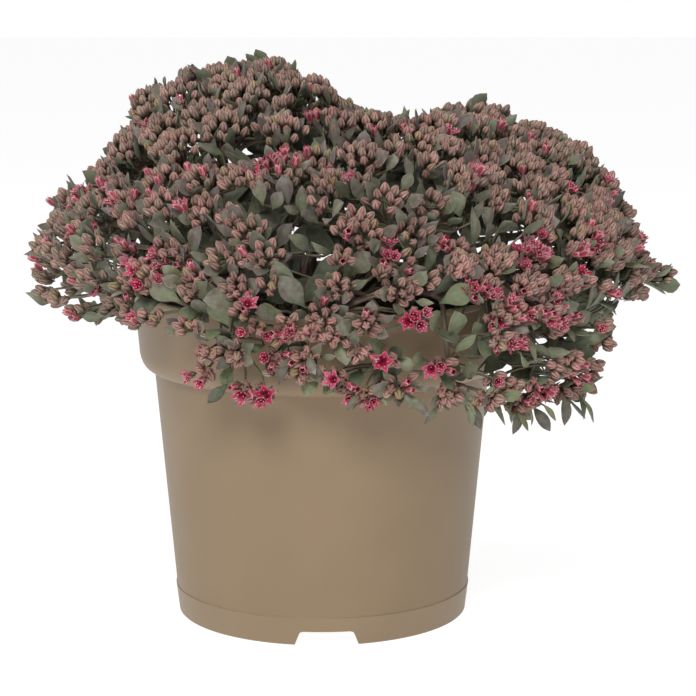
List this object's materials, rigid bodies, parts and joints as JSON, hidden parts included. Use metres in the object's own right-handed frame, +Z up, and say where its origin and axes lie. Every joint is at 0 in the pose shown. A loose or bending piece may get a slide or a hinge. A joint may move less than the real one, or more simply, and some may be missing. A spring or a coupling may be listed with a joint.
{
  "type": "potted stonecrop",
  "caption": "Low mounding stonecrop in bud with crimson star flowers and small grey-green leaves, in a round taupe nursery pot with a rim band and notched foot.",
  "frame": {"origin": "middle of the pot's foot, on the surface it stands on", "axes": "+Z up along the pot's axis; the plant's front faces -Y and its longer, drooping side is towards +X"},
  "size_m": [0.333, 0.2519, 0.2808],
  "materials": {
    "pot": "matt moulded taupe polypropylene",
    "compost": "dark crumbly peat compost",
    "foliage": "fleshy grey-green leaves with a waxy bloom",
    "buds": "dusty pink buds and crimson flowers"
  },
  "bodies": {
    "root": {"clump_01": "foliage", "clump_02": "foliage", "clump_03": "foliage", "clump_04": "foliage", "clump_05": "foliage", "clump_06": "foliage", "clump_07": "foliage", "clump_08": "foliage", "clump_09": "foliage", "clump_10": "foliage", "clump_11": "foliage", "clump_12": "foliage", "head_01": "buds", "head_02": "buds", "head_03": "buds", "head_04": "buds", "head_05": "buds", "head_06": "buds", "head_07": "buds", "head_08": "buds", "head_09": "buds", "head_10": "buds", "head_11": "buds", "head_12": "buds", "head_13": "buds", "head_14": "buds", "head_15": "buds", "head_16": "buds", "head_17": "buds", "head_18": "buds", "head_19": "buds", "head_20": "buds", "head_21": "buds", "head_22": "buds", "head_23": "buds", "head_24": "buds", "head_25": "buds", "head_26": "buds", "head_27": "buds", "head_28": "buds", "head_29": "buds", "head_30": "buds", "head_31": "buds", "head_32": "buds", "head_33": "buds", "head_34": "buds", "head_35": "buds", "head_36": "buds", "head_37": "buds", "head_38": "buds", "head_39": "buds", "head_40": "buds", "head_41": "buds", "head_42": "buds", "head_43": "buds", "head_44": "buds", "head_45": "buds", "head_46": "buds", "pot": "pot", "soil": "compost"}
  },
  "joints": []
}
